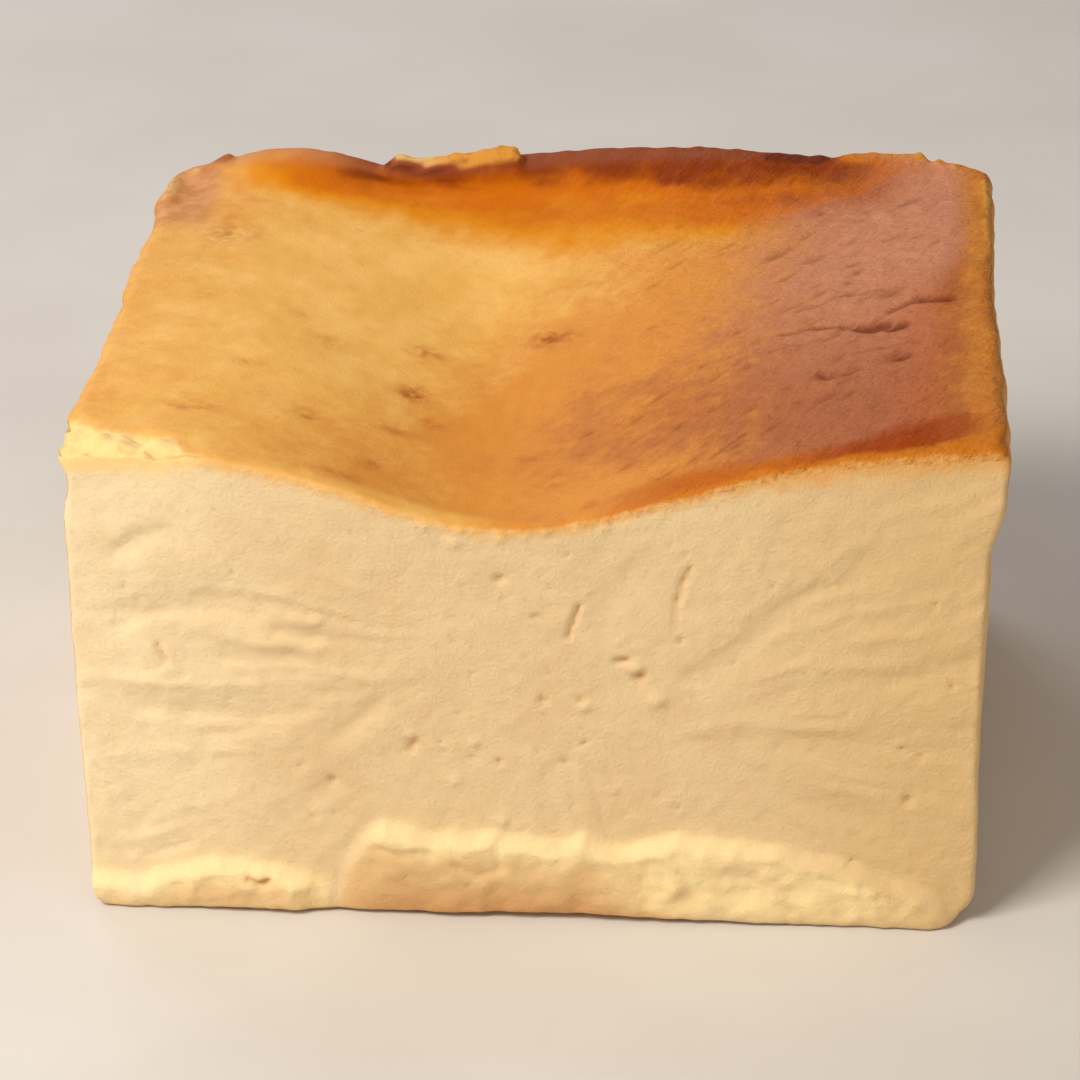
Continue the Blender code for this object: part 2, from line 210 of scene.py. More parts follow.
# Cracks of the skin: line (x, y), depth and half width
CRACKS = (
    (((29, -7.8), (34.3, -7.3), (39.0, -7.8)), 0.34, 0.28),
    (((38.9, -8.4), (40.6, -8.7), (42.0, -7.8)), 0.75, 0.78),
    (((42.6, -4.2), (45.1, -1.7), (48.3, -0.4), (50.3, -0.2)), 0.30, 0.36),
    (((46.8, -1.0), (50.2, -0.2)), 0.50, 0.78),
    (((42.7, -9.3), (44.7, -7.9)), 0.55, 0.50),
    (((31, -1.6), (37, 2.0), (43.7, 2.9)), 0.16, 0.40),
    (((21.2, -39.7), (25.3, -35.1)), 0.22, 0.28),
    (((34.2, -21.6), (35.2, -23.0), (37.6, -22.4)), 0.40, 0.45),
    (((28, -12), (36, -10.7)), 0.14, 0.30),
    (((38, -16.5), (46, -14)), 0.14, 0.32),
)
# Pits of the skin: place (x, y), half sizes along and across the wrinkles, and depth
PITS = (
    (44.1, -18.7, 1.5, 0.8, 0.7), (28.4, 17.5, 2.2, 0.7, 0.4), (33.0, 14.8, 1.6, 0.6, 0.3),
    (35.4, -22.6, 1.2, 0.9, 0.4), (35.6, -28.0, 1.5, 0.6, 0.25), (23.7, -13.7, 0.8, 0.5, 0.3),
    (25.1, -15.6, 0.7, 0.5, 0.3), (23.6, -4.8, 0.7, 0.4, 0.25), (43.0, 2.1, 2.0, 0.6, 0.35),
    (45.3, 32.4, 1.8, 0.6, 0.35), (10.6, -35.8, 1.0, 0.5, 0.3), (-0.7, 3.4, 2.0, 1.2, 0.3),
    (-17.2, -14.4, 1.6, 1.0, 0.3), (-18.3, -25.8, 0.8, 1.6, 0.2), (-28.9, -28.6, 0.9, 0.8, 0.25),
    (-20.1, -37.6, 0.8, 0.9, 0.2),
)
# Brown specks of the skin: place (x, y), half sizes across and along, and strength
SPECKS = (
    (-42.6, -32.2, 2.6, 1.2, 0.55), (-28.9, -28.6, 1.2, 1.2, 0.5), (-17.2, -14.4, 1.8, 1.8, 0.8),
    (-16.5, -2.3, 2.0, 1.4, 0.5), (-18.3, -25.8, 2.4, 1.4, 0.35), (-13.9, -21.6, 1.8, 1.2, 0.45),
    (-20.1, -37.6, 1.1, 1.6, 0.5), (-0.7, 3.4, 2.6, 2.0, 0.75), (-37.6, -16.9, 1.4, 0.9, 0.35),
    (-29.3, -6.0, 1.8, 1.8, 0.25), (-45.9, 23.9, 2.4, 3.6, 0.4), (-42.1, 23.7, 1.6, 2.6, 0.3),
    (-32.9, 1.0, 1.6, 1.2, 0.2), (-46.0, 2.8, 1.8, 1.4, 0.2), (17.0, -23.0, 6.5, 3.0, 0.4),
    (6.9, -44.2, 1.0, 0.8, 0.6), (10.9, -34.2, 1.3, 1.0, 0.5), (-0.3, -28.5, 1.3, 0.9, 0.4),
    (-23.4, -43.8, 2.2, 1.0, 0.4), (1.6, -36.6, 1.6, 1.0, 0.4),
)
# Seeded nicks of the skin's right half: number, and ranges of place, half length, half width and depth
NICKS = 110
NICK_ACROSS, NICK_ALONG = (2, 36, 53), (-42, 30)
NICK_LENGTHS, NICK_WIDTHS, NICK_DEPTHS = (0.5, 1.6), (0.22, 0.42), (0.12, 0.34)
# How steeply the wrinkles run
SLANT = math.radians(46)
# Where the skin's browner zones begin: lines (x, y), and for the rose zone, which is partly painted sheen,
# (y, x)
ORANGE_EDGE = (
    (-46, 45), (-38, 38), (-27, 33), (-18, 31), (-9, 28), (0, 25.5), (9, 26), (18, 26.5), (27, 28),
    (36, 32), (45, 40),
)
ROSE_SHEEN_EDGE = ((-43, 22), (-28, 22), (-6, 21), (18, 24), (26, 28), (34, 31), (43, 38))
FRONT_BROWN_EDGE = (
    (6, -44), (12, -42), (18, -41.7), (27, -43.8), (36, -43.2), (40.5, -41.5), (45, -38.5), (52, -36),
)
FRONT_GOLD_EDGE = ((6, -46.6), (30, -46.9), (43, -47), (48, -45.8), (53, -42.5), (56, -40))

# Lattice of the outside: (length, cells) stretches from left to right, front to back and base to top
ACROSS = ((2, 6), (108, 224), (2, 6))
ALONG = ((1, 3), (9, 21), (70, 118), (11, 20), (5, 10))
UPWARD = ((1, 3), (13, 29), (42, 86), (6, 12), (2, 6))
# How far from a side's edges its relief fades out: on walls and base, and on the skin and the cut
RELIEF_FADE = 2.5
FINE_FADE = 1.2

# Sides of the lattice: fixed axis, its end, the two axes that run over the side, and cells joined into one
SIDES = (
    (2, 1, 0, 1, 1),
    (1, 0, 0, 2, 1),
    (0, 1, 1, 2, 2),
    (0, 0, 2, 1, 2),
    (1, 1, 2, 0, 2),
    (2, 0, 1, 0, 4),
)

# Every edge of the block: axis and end of its two sides, and its radius
EDGES = (
    (0, 0, 1, 0, CUT_EDGE_RADIUS),
    (0, 1, 1, 0, CUT_EDGE_RADIUS),
    (1, 0, 2, 1, CUT_EDGE_RADIUS),
    (1, 0, 2, 0, CUT_EDGE_RADIUS),
    (0, 0, 2, 1, TOP_RIM_RADIUS),
    (0, 1, 2, 1, TOP_RIM_RADIUS),
    (1, 1, 2, 1, TOP_RIM_RADIUS),
    (0, 0, 1, 1, BACK_LEFT_RADIUS),
    (0, 1, 1, 1, BACK_RIGHT_RADIUS),
    (0, 0, 2, 0, LEFT_BASE_RADIUS),
    (0, 1, 2, 0, RIGHT_BASE_RADIUS),
    (1, 1, 2, 0, BACK_BASE_RADIUS),
)

# Camera: a long lens above and a little to the right, aimed just left of the cake's middle
CAMERA_LENS = 150
CAMERA_DISTANCE = 591
CAMERA_PITCH = math.radians(25.5)
CAMERA_YAW = math.radians(4.15)
CAMERA_ROLL = math.radians(-0.83)
CAMERA_TARGET_ASIDE = 2.13
CAMERA_TARGET_DOWN = 2.38
CAMERA_SENSOR = 36
CAMERA_CLIP_START = 10

# Lamps: name, place, size, power and colour. A warm key from the upper left front, a weak fill, and a
# cool one behind for the sheen; all aim at the cake.
LAMPS = (
    ("key", (-360, -440, 620), 350, 6.0, (1.0, 0.95, 0.88)),
    ("fill", (700, -500, 450), 600, 1.0, (1.0, 0.93, 0.86)),
    ("back_sheen", (-450, 750, 550), 500, 2.6, (0.96, 0.92, 1.0)),
)
LAMP_AIM = (0, 0, 30)
STUDIO_COLOUR, STUDIO_STRENGTH = (1.0, 0.97, 0.93, 1), 0.27
FLOOR_HALF = 1500

# Surface values of the skin, of the cream under it and of the floor
SKIN_ROUGHNESS, CREAM_ROUGHNESS, FLOOR_ROUGHNESS = 0.5, 0.6, 0.8
SKIN_SCATTER, CREAM_SCATTER = 0.08, 0.25
SCATTER_RADIUS, SCATTER_SCALE = (1.0, 0.6, 0.3), 1.0
SPECULAR_LEVEL = 0.06
GRAIN_DEPTH = 0.22

# The table behind the shapes' noise, and how far one cell along each axis steps in it
NOISE_TABLE = 65521
NOISE_STEPS = np.array((1, 5147, 30011))


# Shape helpers


def bell(place, centre, half):
    """1 at the centre, a half at a half width from it."""
    return 0.5 ** (((place - centre) / half) ** 2)


def ease(place, low, high):
    """0 up to low, 1 from high on, smooth between."""
    share = np.clip((place - low) / (high - low), 0, 1)
    return share * share * (3 - 2 * share)


def towards(value, target, share):
    """The value moved by a share of the way to the target."""
    return value + (target - value) * share


def line_distance(a, b, path):
    """Distance from the points (a, b) to a line through the path's points."""
    nearest = np.full(a.shape, np.inf)
    for (a0, b0), (a1, b1) in zip(path, path[1:]):
        run, rise = a1 - a0, b1 - b0
        share = np.clip(((a - a0) * run + (b - b0) * rise) / (run * run + rise * rise), 0, 1)
        nearest = np.minimum(nearest, np.hypot(a - a0 - share * run, b - b0 - share * rise))
    return nearest


def line_marks(a, b, lines):
    """Yields each line's depth and how near the points are to it, 1 on the line."""
    for path, depth, half in lines:
        yield depth, bell(line_distance(a, b, path), 0, half)


def spot_marks(a, b, spots, width):
    """Yields each spot's radius and how near the points are to its middle; width is a share of the radius."""
    for centre_a, centre_b, radius in spots:
        yield radius, bell(np.hypot(a - centre_a, b - centre_b), 0, width * radius)


def slanted(a, b):
    """Places along and across a slant that rises to the right, as the skin's wrinkles do."""
    return a * math.cos(SLANT) + b * math.sin(SLANT), b * math.cos(SLANT) - a * math.sin(SLANT)


def noise(seed, *coordinates):
    """Smooth noise from -1 to 1 over coordinates counted in cells."""
    places = np.stack(np.broadcast_arrays(*coordinates), axis=1)
    cells = np.floor(places).astype(np.int64)
    shares = places - cells
    shares = shares * shares * (3 - 2 * shares)
    steps = NOISE_STEPS[: places.shape[1]]
    values = np.random.default_rng(seed).uniform(-1, 1, NOISE_TABLE)
    total = np.zeros(len(places))
    for corner in itertools.product((0, 1), repeat=places.shape[1]):
        weight = np.prod(np.where(corner, shares, 1 - shares), axis=1)
        total += weight * values[((cells + corner) * steps).sum(axis=1) % NOISE_TABLE]
    return total


# The outside of the block as a lattice


def lattice_lines(stretches):
    """Places of the lattice lines along one axis, from 0 to 1."""
    ends = np.cumsum([0.0] + [length for length, _ in stretches])
    runs = [np.linspace(low, high, cells, endpoint=False)
            for low, high, (_, cells) in zip(ends, ends[1:], stretches)]
    return np.append(np.concatenate(runs), ends[-1]) / ends[-1]


def cell_outline(a0, b0, step, count_a, count_b):
    """Corners of one cell, and the finer points where it meets an edge of the block."""
    a1, b1 = a0 + step, b0 + step
    outline = [(a, b0) for a in range(a0, a1, 1 if b0 == 0 else step)]
    outline += [(a1, b) for b in range(b0, b1, 1 if a1 == count_a else step)]
    outline += [(a, b1) for a in range(a1, a0, -1 if b1 == count_b else -step)]
    outline += [(a0, b) for b in range(b1, b0, -1 if a0 == 0 else -step)]
    return outline


def side_cells(counts, fixed, end, axis_a, axis_b, step):
    """Yields the lattice points of each cell of one side, anticlockwise as seen from outside."""
    for a0 in range(0, counts[axis_a], step):
        for b0 in range(0, counts[axis_b], step):
            cell = []
            for a, b in cell_outline(a0, b0, step, counts[axis_a], counts[axis_b]):
                point = [0, 0, 0]
                point[fixed] = counts[fixed] * end
                point[axis_a], point[axis_b] = a, b
                cell.append(tuple(point))
            yield cell


def lattice_surface():
    """The lattice points as shares from 0 to 1, and the faces."""
    lines = [lattice_lines(stretches) for stretches in (ACROSS, ALONG, UPWARD)]
    counts = [len(places) - 1 for places in lines]
    numbers, faces = {}, []
    for side in SIDES:
        for cell in side_cells(counts, *side):
            faces.append([numbers.setdefault(point, len(numbers)) for point in cell])
    points = np.array(list(numbers))
    shares = [places[points[:, axis]] for axis, places in enumerate(lines)]
    return shares, faces


# Form of the block: u runs left to right, v front to back and w base to top, all from 0 to 1


def top_height(u, v):
    """Height of the skin over the base, with the sag and the raised back rim."""
    x = (u - 0.5) * TOP_WIDTH
    centre = SAG_CENTRE + SAG_DRIFT * v
    half = np.where(x < centre, SAG_HALF_LEFT, SAG_HALF_RIGHT)
    sag = SAG_DEPTH * bell(x, centre, half) * (1 - v ** SAG_POWER)
    rim = LEFT_RIM_HEIGHT + (RIGHT_RIM_HEIGHT - LEFT_RIM_HEIGHT) * u
    waves = sum(height * bell(x, place, width) for place, height, width in BACK_RIM_WAVES)
    return rim - sag + waves * ease(v, 1 - BACK_RIM_REACH, 1)


def half_widths(v, w):
    """Distances of the left and the right wall from the middle plane."""
    taper = BASE_WIDTH / 2 + (TOP_WIDTH - BASE_WIDTH) / 2 * w
    wave = WALL_WAVE * np.sin(2.3 * math.pi * v + 4 * w)
    left = taper + LEFT_REACH + wave - LEFT_PINCH * bell(w, 0.93, 0.04)
    bulges = sum(height * bell(v, place, half) for place, half, height in LEFT_BULGES)
    left = left + bulges * ease(w, 0.9, 0.99)
    right = taper - wave - OVERHANG * (1 - ease(w, OVERHANG_START, OVERHANG_FULL))
    return left, right


def block_form(u, v, w):
    """The block with sharp edges."""
    left, right = half_widths(v, w)
    x = -left + (left + right) * u
    front = -LENGTH / 2 + CUT_TURN * ease(u, 0.35, -0.05)
    back = LENGTH / 2 + BACK_WALL_CROWN * (1 - (2 * u - 1) ** 2) * ease(w, 0, 0.6)
    y = front + (back - front) * v
    z = w * top_height(u, v)
    return np.stack((x, y, z), axis=1)


def edge_pull(gap_a, gap_b, radius):
    """How far an edge's arc pulls points in from the edge's two sides: a square corner made round."""
    into_a, into_b = np.clip(radius - gap_a, 0, None), np.clip(radius - gap_b, 0, None)
    diagonal = np.maximum(np.hypot(into_a, into_b), radius * 1e-6)
    excess = 1 - np.maximum(into_a, into_b) / diagonal
    corner = (into_a > 0) & (into_b > 0)
    return np.where(corner, into_a * excess, 0), np.where(corner, into_b * excess, 0)


def round_edges(points, shares):
    """Rounds every edge of the block."""
    sizes = np.ptp(points, axis=0)
    pulls = np.zeros_like(points)
    for axis_a, end_a, axis_b, end_b, radius in EDGES:
        gap_a = np.abs(shares[axis_a] - end_a) * sizes[axis_a]
        gap_b = np.abs(shares[axis_b] - end_b) * sizes[axis_b]
        pull_a, pull_b = edge_pull(gap_a, gap_b, radius)
        pulls[:, axis_a] += pull_a * (1 - 2 * end_a)
        pulls[:, axis_b] += pull_b * (1 - 2 * end_b)
    return points + pulls


# Relief of the cut face, as heights out of it


def below_crest(x, z, crest):
    """How far a point lies below a lip's crest line, and whether it is inside the lip."""
    across, heights = zip(*crest)
    below = np.interp(x, across, heights) - z
    return below, (below > 0) & (x > across[0]) & (x < across[-1])


def lip(x, z, crest):
    """A lip of cream under a crest line: a round shoulder that eases back towards the base."""
    below, inside = below_crest(x, z, crest)
    depth = line_distance(x, z, crest) * np.where(inside, 1, -1)
    fall = 1 - towards(0.75, 0.3, ease(x, 0, 16)) * np.clip(below / LIP_HEIGHT, 0, 1)
    fall *= ease(x, crest[0][0], crest[0][0] + LIP_END) * ease(x, crest[-1][0], crest[-1][0] - LIP_END)
    return LIP_DEPTH * ease(depth, -LIP_SHOULDER, LIP_SHOULDER) * fall


def lips(x, z):
    """Both lips, with their crests and bodies made lumpy."""
    along, across = slanted(x, z)
    ragged = z + 0.3 * noise(11, along / 3, across / 4) + 0.2 * noise(12, along / 1.3, across / 1.3)
    body = np.maximum(lip(x, ragged, LONG_LIP), lip(x, ragged, LEFT_LIP))
    lumps = noise(13, along / 2.6, across / 2.2) + 0.8 * noise(14, along / 1.3, across / 1.3)
    return body + 0.26 * lumps * (body / LIP_DEPTH)


def lip_highlight_shade_and_tone(x, z):
    """Painted highlight along a lip's crest and in bright patches on the long lip's right part, painted shade
    towards its foot, and the tone of its body.
    """
    crest_highlight, foot_tone, body_tone = np.zeros_like(x), np.zeros_like(x), np.zeros_like(x)
    along, across = slanted(x, z)
    for crest in (LONG_LIP, LEFT_LIP):
        below, inside = below_crest(x, z + 0.7 * noise(15, along / 2, across / 2), crest)
        tall = np.clip(below + z, 2, None)
        near = bell(below, 0.8, 1.8) * ease(tall, 2, 4)
        # painted highlight along the crest
        crest_highlight = np.maximum(crest_highlight, near * ease(x, crest[0][0] + 3.5, crest[0][0] + 8))
        # painted shade towards the lip's foot
        foot_tone = np.maximum(foot_tone, np.where(inside, ease(below / tall, 0.4, 0.95), 0))
        body_tone = np.maximum(body_tone, np.where(inside, ease(below, 0.5, 3), 0))
    crest_highlight *= 1 - 0.8 * ease(x, 22, 38)
    # painted highlight: bright patches on the right part of the long lip below its crest
    highlight_patches = ease(x, 4, 18) * ease(x, 52, 38) * ease(below_crest(x, z, LONG_LIP)[0], 0, 2.5)
    patches = noise(16, along / 4, across / 3) + 0.5 * noise(17, along / 1.6, across / 1.4)
    highlight_patches *= ease(patches, -1.2, 0.0) * ease(z, 0, 3)
    crest_highlight = np.maximum(0.75 * crest_highlight, highlight_patches)
    foot_tone *= ease(x, 22, 8) * ease(x, -30, -14)
    return crest_highlight, foot_tone, body_tone * ease(x, 24, 12)


def fan(x, z, centre):
    """Soft ridges that the knife dragged out round one point of the cut face."""
    run, rise = x - centre[0], z - centre[1]
    reach = np.hypot(run, rise)
    turn = np.arctan2(rise, -run) + 0.12 * noise(21, x / 17, z / 17)
    relief = np.zeros_like(x)
    for seed, (count, length, height, start) in enumerate(FAN_STREAKS, start=22):
        streaks = noise(seed, turn * count, reach / length)
        relief += height * streaks * ease(reach, start, 2.5 * start)
    return relief * (0.7 + 0.5 * noise(25, x / 9, z / 9))


def fans(x, z):
    """The fan of the left half, which fades out upwards, and the fan of the right half."""
    left = fan(x, z, LEFT_FAN_CENTRE) * (1 - 0.7 * ease(z, 41, 51))
    right = fan(x, z, RIGHT_FAN_CENTRE) * towards(0.4, 1.5, ease(z - 0.7 * x, 30, 14))
    return towards(left, right, ease(x, 10, 20))


def folds(x, z):
    """Folds that the knife dragged: each is steeper on one side of its line."""
    x_bent = x + 0.3 * noise(26, x / 2.5, z / 2.5)
    z_bent = z + 0.3 * noise(27, x / 2.5, z / 2.5)
    relief = np.zeros_like(x)
    for path, height, above, below in FOLDS:
        across, heights = zip(*sorted(path))
        distance = line_distance(x_bent, z_bent, path)
        over = (z_bent - np.interp(x_bent, across, heights)) / np.maximum(distance, 0.05)
        relief += height * bell(distance, 0, towards(below, above, ease(over, -1, 1)))
    relief *= 1 - 0.35 * ease(x, 10, 25)
    return relief * (0.85 + 0.3 * noise(28, x / 3, z / 3))


def stray_spots(seed, count):
    """Seeded small bubbles or crumbs all over the cut face: places and radii."""
    random = np.random.default_rng(seed)
    for _ in range(count):
        yield random.uniform(*STRAY_ACROSS), random.uniform(*STRAY_UP), random.uniform(*STRAY_RADII)


def cut_relief(x, z):
    """The cut face: streaks, folds, slits, bubbles, lumps, grain and lips."""
    relief = fans(x, z) + folds(x, z)
    for depth, near in line_marks(x, z, SLITS):
        relief -= depth * near
    for radius, near in spot_marks(x, z, (*BUBBLES, *stray_spots(31, STRAY_BUBBLES)), BUBBLE_WIDTH):
        relief -= BUBBLE_DEPTH * radius * near
    for radius, near in spot_marks(x, z, (*LUMPS, *stray_spots(32, STRAY_CRUMBS)), LUMP_WIDTH):
        relief += LUMP_HEIGHT * radius * near
    along, across = slanted(x, z)
    for seed, (size, height) in enumerate(CUT_GRAINS, start=41):
        relief += height * noise(seed, along / size, across / size)
    return relief + lips(x, z)


# Relief of the skin, as heights up


def torn(x, y):
    """Distance into the torn corner from its ragged edge, negative outside it."""
    ragged = 2.0 * noise(61, x / 3.4, y / 3) + 0.7 * noise(62, x / 1.3, y)
    return np.interp(x, *zip(*TORN_EDGE)) - y + ragged


def rim_flakes(place, inward, rows):
    """Heights and tones of one rim's flakes; the right half of each is paler right down to its foot."""
    ridge = bell(inward, FLAKE_PLACE + 0.4 * noise(65, place / 6), FLAKE_HALF_THICKNESS)
    ragged = 0.9 + 0.1 * noise(66, place / 5) + 0.06 * noise(67, place / 1.3)
    patches = 0.12 * noise(68, place / 2.2, inward)
    relief, tone = np.zeros_like(place), np.zeros_like(place)
    for start, end, height, top_tone, foot_tone in rows:
        share = ridge * ease(place, start, start + 4) * ease(place, end, end - 1.5)
        relief += height * share * ragged
        middle = (start + end) / 2
        low = towards(0.5, 0.2, ease(place, middle - 6, middle + 3))
        pale = ease(share + patches, low, low + 0.35)
        tone += towards(foot_tone, top_tone, pale) * ease(share, 0.1, 0.4)
    return relief, tone


def flakes(x, y):
    """Heights of all flakes and crumbs, and their tones."""
    back = rim_flakes(x, LENGTH / 2 - y, BACK_FLAKES)
    left = rim_flakes(y, x + TOP_WIDTH / 2, LEFT_FLAKES)
    right = rim_flakes(y, 1.8 * (TOP_WIDTH / 2 - x), RIGHT_FLAKES)
    relief, tone = (sum(parts) for parts in zip(back, left, right))
    for radius, near in spot_marks(x, y, RIM_CRUMBS, RIM_CRUMB_WIDTH):
        relief += RIM_CRUMB_HEIGHT * radius * near
        tone += RIM_CRUMB_TONE * near
    return relief, tone


def nicks():
    """Seeded short nicks on the right half of the skin, in the form of the pits."""
    random = np.random.default_rng(55)
    for _ in range(NICKS):
        x, y = random.triangular(*NICK_ACROSS), random.uniform(*NICK_ALONG)
        yield x, y, random.uniform(*NICK_LENGTHS), random.uniform(*NICK_WIDTHS), random.uniform(*NICK_DEPTHS)


def pit_marks(x, y):
    """Yields the depth of each pit and nick of the skin, and how near the points are to its middle."""
    along, across = slanted(x, y)
    for centre_x, centre_y, half_along, half_across, depth in (*PITS, *nicks()):
        centre_along, centre_across = slanted(centre_x, centre_y)
        yield depth, bell(along, centre_along, half_along) * bell(across, centre_across, half_across)


def skin_relief(x, y):
    """The skin: broad waves, wrinkles on its right half, cracks, pits, flakes and the torn corner."""
    along, across = slanted(x, y)
    rough = 0.25 + 0.75 * ease(x, 0, 30)
    relief = 0.20 * noise(51, x / 11, y / 11)
    relief += 0.10 * rough * noise(52, along / 6, across / 2)
    relief += 0.17 * rough * noise(53, along / 2.6, across / 1.1)
    relief += 0.06 * noise(54, x / 1.4, y / 1.4)
    for depth, near in itertools.chain(line_marks(x, y, CRACKS), pit_marks(x, y)):
        relief -= depth * near
    bare = ease(torn(x, y), -2, 1)
    lumps = 0.8 * noise(63, along / 2.4, across / 2.1) + 0.4 * noise(64, along / 1.2, across / 1.2)
    return relief + flakes(x, y)[0] + bare * (lumps - TORN_DEPTH)


# Relief of the walls and the base


def wall_relief(along, height, w, length, seed, raggedness):
    """Folds and creases that the paper pressed into a wall, its fine skin, and its ragged rim."""
    folded = np.zeros_like(along)
    for low, high in PAPER_FOLDS:
        folded += FOLD_DEPTH * bell(along, towards(low, high, w) * length, FOLD_HALF_WIDTH)
    bend = 0.7 * noise(seed + 5, height / 7)
    for low, high in PAPER_CREASES:
        folded += CREASE_DEPTH * bell(along + bend, towards(low, high, w) * length, CREASE_HALF_WIDTH)
    relief = -folded * ease(height, 60, 46)
    relief += 0.22 * noise(seed, along / 5, height / 14)
    relief += 0.10 * noise(seed + 1, along / 2.5, height / 2.5)
    rim = 0.2 * noise(seed + 2, along / 1.9, height / 2.2) + 0.3 * noise(seed + 3, along / 6)
    rim += 0.5 * noise(seed + 4, along / 2.4, height / 2.4) * ease(along, 14, 5)
    return relief + raggedness * rim * ease(height, 57, 62)


def base_lift(x, y):
    """The lift of the base along the cut."""
    depth = ease(y, BASE_LIFT_DEPTH - LENGTH / 2, -LENGTH / 2)
    return depth * sum(lift * bell(x, middle, half) for middle, half, lift in BASE_LIFTS)


def add_relief(points, shares):
    """Adds each side's relief, which fades out round the edges."""
    u, v, w = shares
    x, y, z = points.T
    width, length, height = np.ptp(points, axis=0)
    shaped = points.copy()
    shaped[:, 2] += skin_relief(x, y) * ease((1 - w) * height, FINE_FADE, 0)
    shaped[:, 2] += base_lift(x, y) * ease(w * height, RELIEF_FADE, 0)
    shaped[:, 1] -= cut_relief(x, z) * ease(v * length, FINE_FADE, 0)
    back = wall_relief(u * width, z, w, width, 71, 0.8)
    shaped[:, 1] += back * ease((1 - v) * length, RELIEF_FADE, 0)
    left = wall_relief(v * length, z, w, length, 76, 1.0)
    shaped[:, 0] -= left * ease(u * width, RELIEF_FADE, 0)
    right = wall_relief(v * length, z, 1 - w, length, 86, 0.5)
    shaped[:, 0] += right * ease((1 - u) * width, RELIEF_FADE, 0)
    return shaped


def stand_in_cad_box(points):
    """Centres the block over the CAD block and stands it at the same height."""
    low, high = points.min(axis=0), points.max(axis=0)
    cad_low, cad_high = (np.array(corner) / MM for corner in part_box(NODE))
    shift = (cad_low + cad_high - low - high) / 2
    shift[2] = cad_low[2] - low[2]
    return points + shift


# Colour fields, one value a vertex


def front_band(x, y, edge, soft):
    """1 between the cut and a line that runs near it, with a soft ragged border."""
    ragged = 0.8 * noise(83, x / 3, y / 2)
    return ease(np.interp(x, *zip(*edge)) - y + ragged, -soft, soft)


def mottle(x, y):
    """Uneven browning at two sizes."""
    return noise(81, x / 5, y / 5) + noise(82, x / 2.4, y / 2.4)


def tanning(x, y):
    """How tan the plain skin is, patch by patch, from 0 for golden to 1 for light brown at the right."""
    middle = bell(x, -1, 14) * ease(y, 30, -16)
    front_left = ease(y, -12, -34) * ease(x, -6, -24) * ease(x, -50, -34)
    back_left = ease(y, 22, 32) * ease(x, -8, -22)
    back_right = ease(x, 24, 36) * ease(y, -5, 15)
    front_middle = ease(y, -28, -42) * bell(x, 8, 18)
    tan = ease(x - 0.4 * y, -28, 52) + 0.26 * middle + 0.2 * front_left + 0.12 * ease(x, -38, -46)
    tan += 0.15 * back_left + 0.2 * back_right - 0.3 * front_middle
    left_of_cut = ease(y, -44, -46.5) * ease(x, 0, -9)
    left_rim, right_rim = ease(x, -48, -55.5), ease(x, 50, 53.5)
    tan = towards(towards(tan, 0.2, left_of_cut), 0.22, left_rim)
    return towards(tan, 0.85, right_rim) + 0.06 * mottle(x, y)


def browning(x, y):
    """Depth of the orange and brown bands along the back rim, from 0 for plain skin to 1 for dark brown."""
    past_band = y - np.interp(x, *zip(*ORANGE_EDGE)) + 1.2 * noise(84, x / 5, y / 4)
    band = towards(0.52, 0.7, ease(x, 10, 22) * ease(x, 46, 38))
    reach = towards(9, 6, ease(x, 8, 18))
    brown = band * ease(past_band, -6, reach) * ease(x, -52, -43)
    blotches = noise(85, x / 4.5, y / 2.6)
    dark_edge = towards(40.3, 38, ease(x, -6, 12))
    dark = ease(y - dark_edge + 0.6 * blotches, 0, 6) * ease(x, -37, -24)
    brown = towards(brown, 0.88, dark * ease(x, 44, 32))
    brown += 0.06 * ease(blotches, 0.1, 0.6) * ease(y, 37, 42) * ease(x, -38, -28)
    left_band = ease(x, -50, -43) * ease(x, -20, -34)
    brown += 0.2 * left_band * ease(y, 36, 41) * ease(y, 46, 44)
    brown = towards(brown, 0.4, ease(y, 45, 46.5) * ease(x, 35, 38))
    brown = towards(brown, 0.12, ease(x, 50, 53.5))
    return brown + 0.05 * mottle(x, y) * ease(brown, 0, 0.3)


def rose_and_sheen(x, y):
    """How far the skin turns to a dull rose, partly reddish browning and partly painted sheen: on the right
    slope, the back rim and the back left corner.
    """
    rim_start = towards(50.3, 54, ease(y, -1, 20))
    right = ease(x - np.interp(y, *zip(*ROSE_SHEEN_EDGE)) + 1.5 * mottle(x, y), -9, 16)
    right *= ease(x - rim_start, 0.5, -4)
    on_bump = ease(x, -26, -36)
    rim = ease(y, 44.3 - 1.8 * on_bump, 46.7) * (0.65 + 0.3 * on_bump)
    rim *= ease(x, 36, 33) * (1 - 0.8 * bell(x, 28, 4))
    corner = ease(x, -47, -50.5) * ease(y, 22, 31)
    return np.maximum(np.maximum(right, rim), 0.85 * corner)


def speckle(x, y):
    """Brown specks of the skin."""
    total = np.zeros_like(x)
    for centre_x, centre_y, half_x, half_y, strength in SPECKS:
        speck = bell(x, centre_x, half_x) * bell(y, centre_y, half_y)
        total = np.maximum(total, 1.5 * strength * speck)
    return np.clip(total, 0, 1)


def darkest(marks, strength):
    """The strongest mark at each point, by its depth or radius, up to 1."""
    return np.clip(functools.reduce(np.maximum, (strength * size * near for size, near in marks)), 0, 1)


def crack_and_pit_shade(x, y):
    """Painted shade inside the skin's cracks and pits, darker where they are deeper and fainter in the left
    half.
    """
    dark = np.maximum(darkest(line_marks(x, y, CRACKS), 2.6), darkest(pit_marks(x, y), 1.6))
    return dark * (0.35 + 0.65 * ease(x, -5, 15))


def slit_and_bubble_shade(x, z):
    """Painted shade inside the cut face's slits and bubbles, darker for deeper slits and larger bubbles."""
    bubbles = darkest(spot_marks(x, z, BUBBLES, BUBBLE_WIDTH), 0.7)
    return np.maximum(darkest(line_marks(x, z, SLITS), 1), bubbles)


